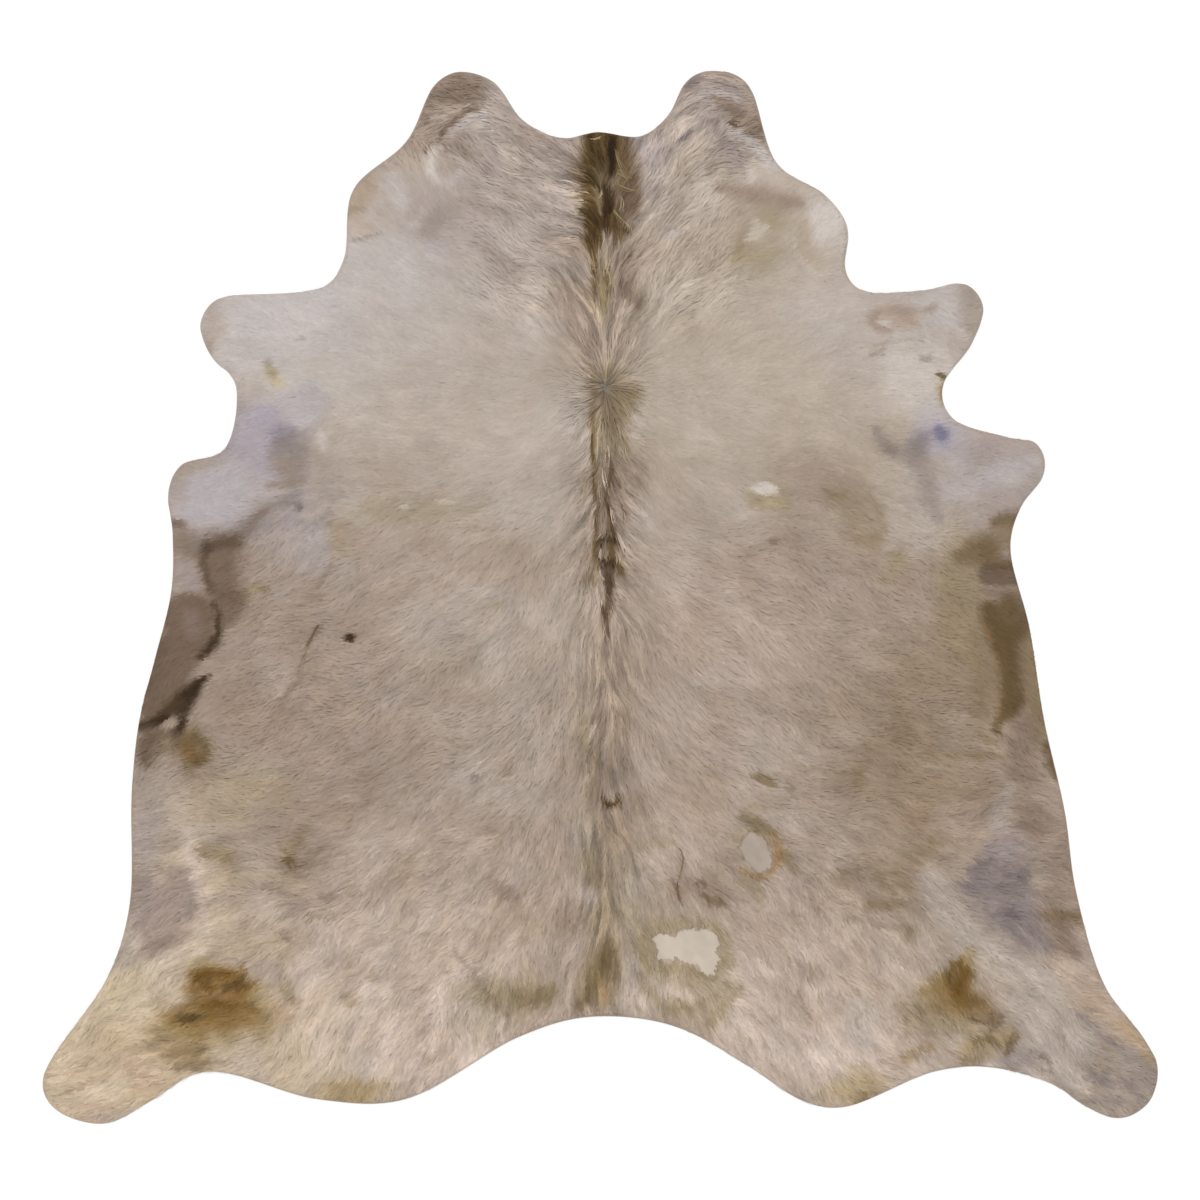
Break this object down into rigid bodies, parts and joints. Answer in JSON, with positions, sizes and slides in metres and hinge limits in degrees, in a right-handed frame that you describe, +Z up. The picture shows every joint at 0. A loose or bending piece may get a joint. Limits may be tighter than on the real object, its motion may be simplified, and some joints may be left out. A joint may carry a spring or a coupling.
{
  "type": "cowhide rug",
  "caption": "Whole hair-on cowhide rug lying flat, pale taupe with a dark spine stripe, lobed neck, forelegs and hind legs, and a smooth cut edge.",
  "frame": {"origin": "under the middle of the outline's bounding box, on the underside (z = 0)", "axes": "+Z up through the thickness to the hair side, +Y along the spine to the neck end, +X to the right seen from above"},
  "size_m": [2.23, 2.106, 0.006],
  "materials": {
    "hair_coat": "hair-on hide: short soft pale taupe hair with olive, golden and grey-brown markings, suede flesh side"
  },
  "bodies": {
    "root": {"hide": "hair_coat"}
  },
  "joints": []
}
